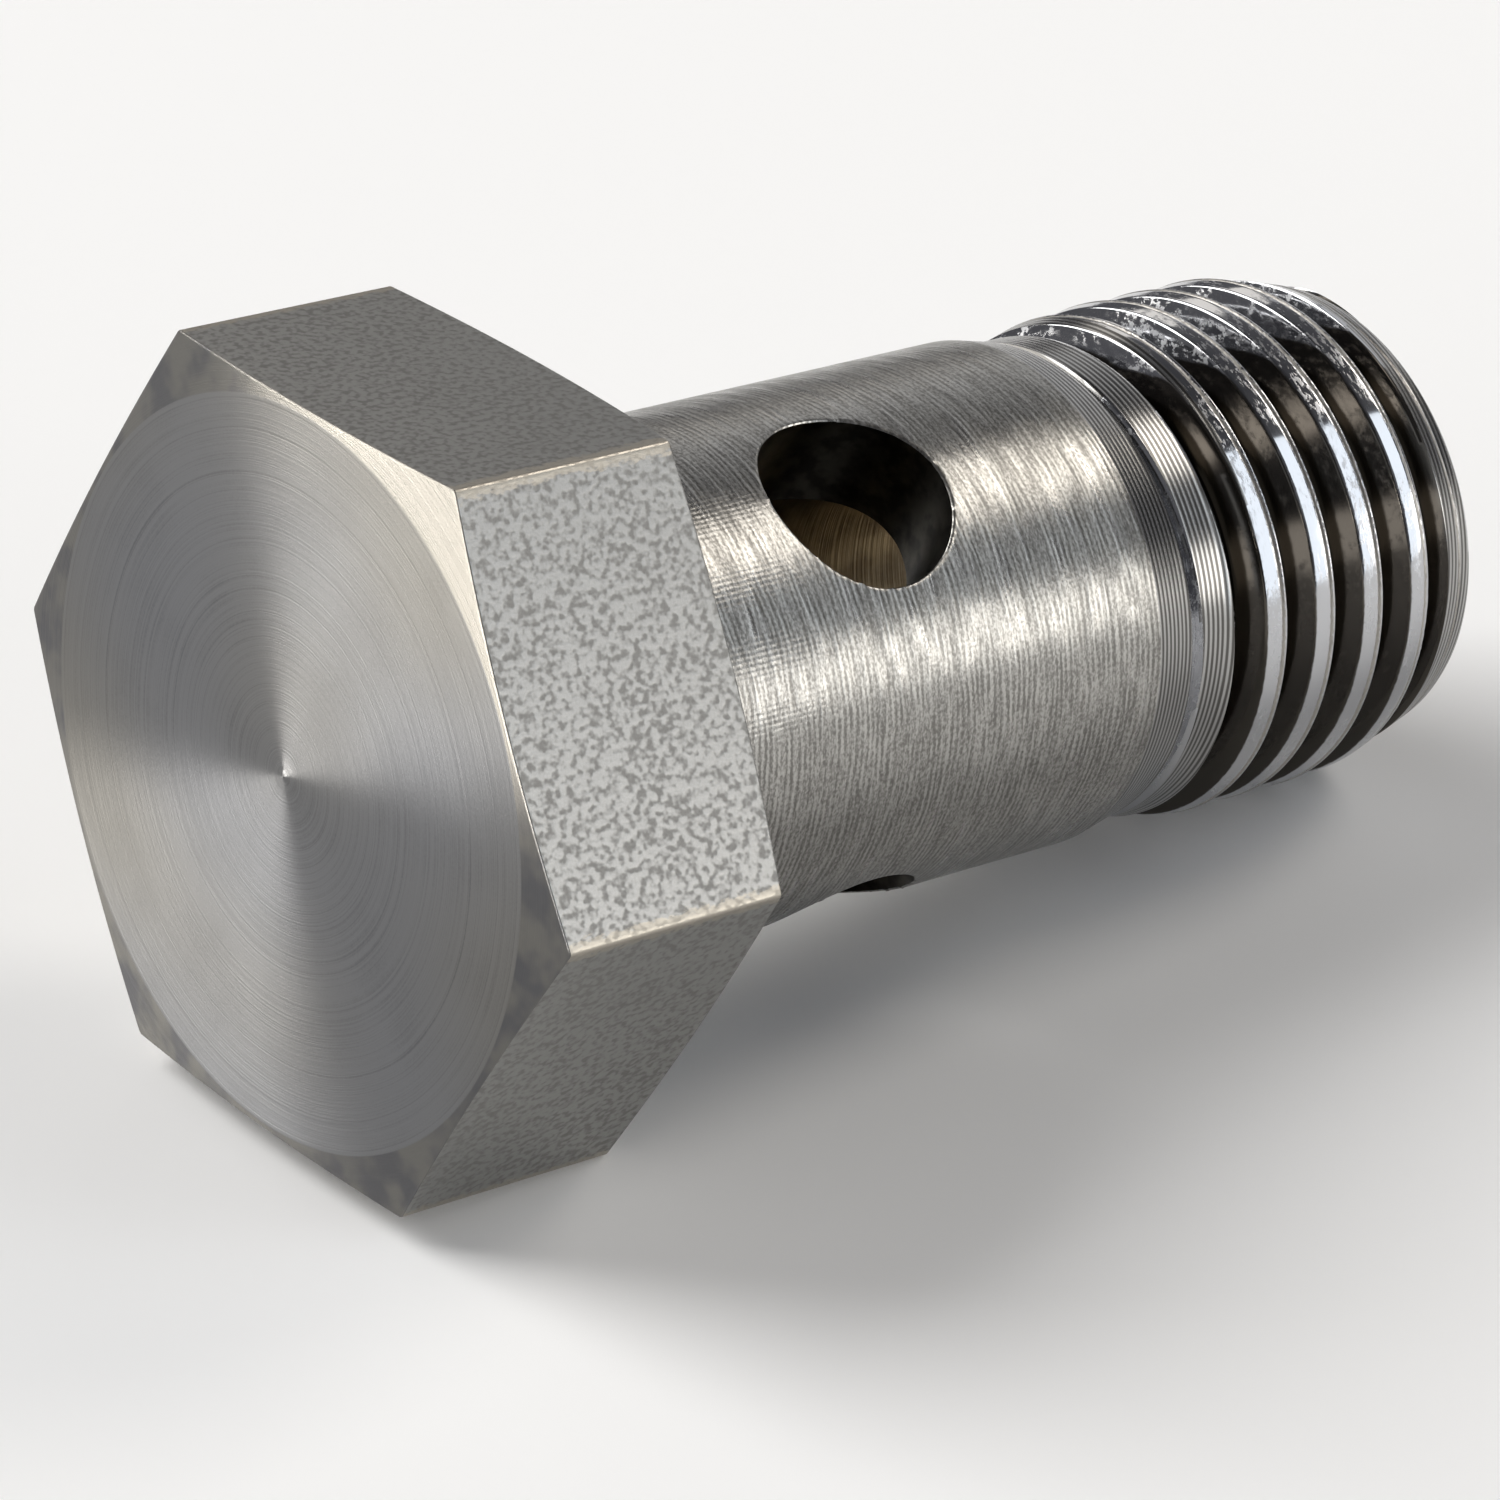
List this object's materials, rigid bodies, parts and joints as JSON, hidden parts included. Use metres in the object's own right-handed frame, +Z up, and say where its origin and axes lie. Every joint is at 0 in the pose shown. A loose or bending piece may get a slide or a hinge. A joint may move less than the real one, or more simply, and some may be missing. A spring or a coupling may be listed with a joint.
{
  "type": "banjo bolt",
  "caption": "Hollow hexagon-head banjo bolt with a cross-drilled shank, a drilled core and a fine-pitch threaded end.",
  "frame": {"origin": "on the bolt's axis, in the plane of the bearing face under the head", "axes": "+X along the axis from the head to the threaded end, +Z up, square to one flat of the hexagon, and +Y to the far side of the view in the picture"},
  "size_m": [0.03, 0.0194, 0.0168],
  "materials": {
    "steel": "fine-turned bare steel, satin on the head and shank, bright on the thread flanks"
  },
  "bodies": {
    "root": {"banjo_bolt": "steel"}
  },
  "joints": []
}
